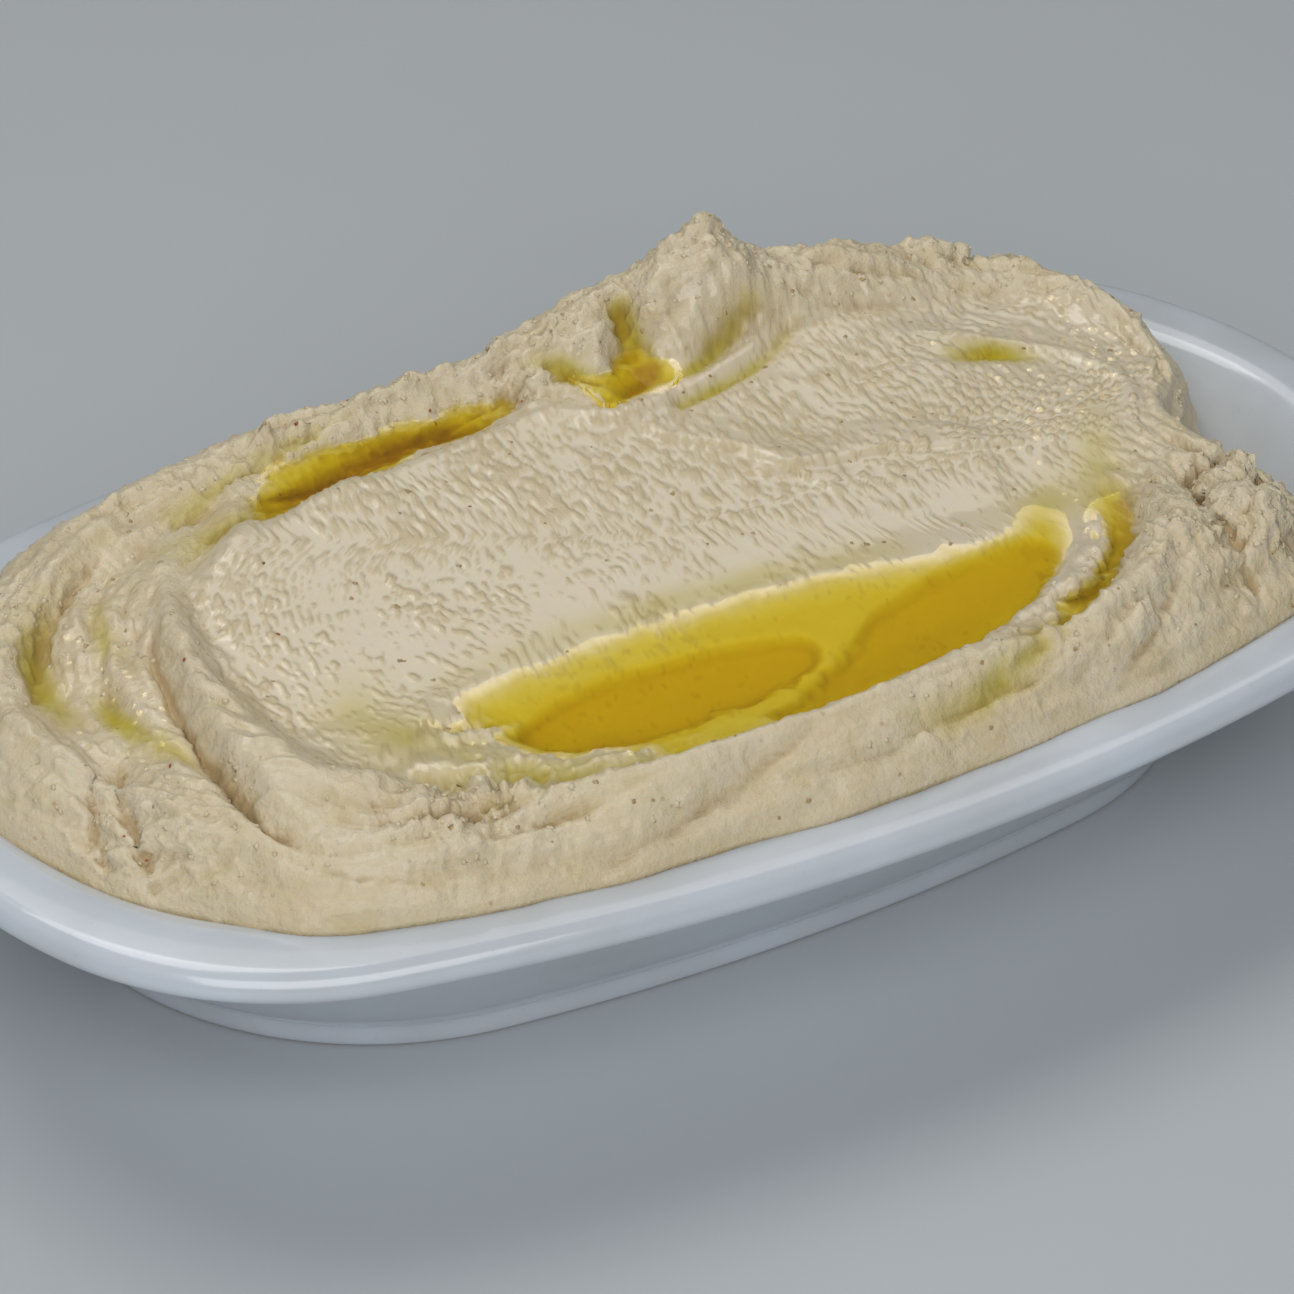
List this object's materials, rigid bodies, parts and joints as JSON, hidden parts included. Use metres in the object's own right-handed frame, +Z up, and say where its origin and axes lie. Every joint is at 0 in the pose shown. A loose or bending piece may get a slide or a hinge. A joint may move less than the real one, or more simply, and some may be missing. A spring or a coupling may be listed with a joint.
{
  "type": "hummus in an oblong dish",
  "caption": "Hummus heaped in an oblong white dish and swept into a shallow trough that holds pools of yellow oil.",
  "frame": {"origin": "middle of the dish's foot, at the height the foot stands on", "axes": "+X along the dish, towards the end where the hummus stops short of the wall; +Y across it, towards the high back ridge; +Z up"},
  "size_m": [0.2358, 0.1398, 0.0647],
  "materials": {
    "dish": "gloss",
    "hummus": "satin",
    "oil": "polished"
  },
  "bodies": {
    "root": {"dish": "dish", "hummus": "hummus", "oil_pool_front": "oil", "oil_channel_back": "oil", "oil_pit_back": "oil", "oil_channel_right": "oil"}
  },
  "joints": []
}
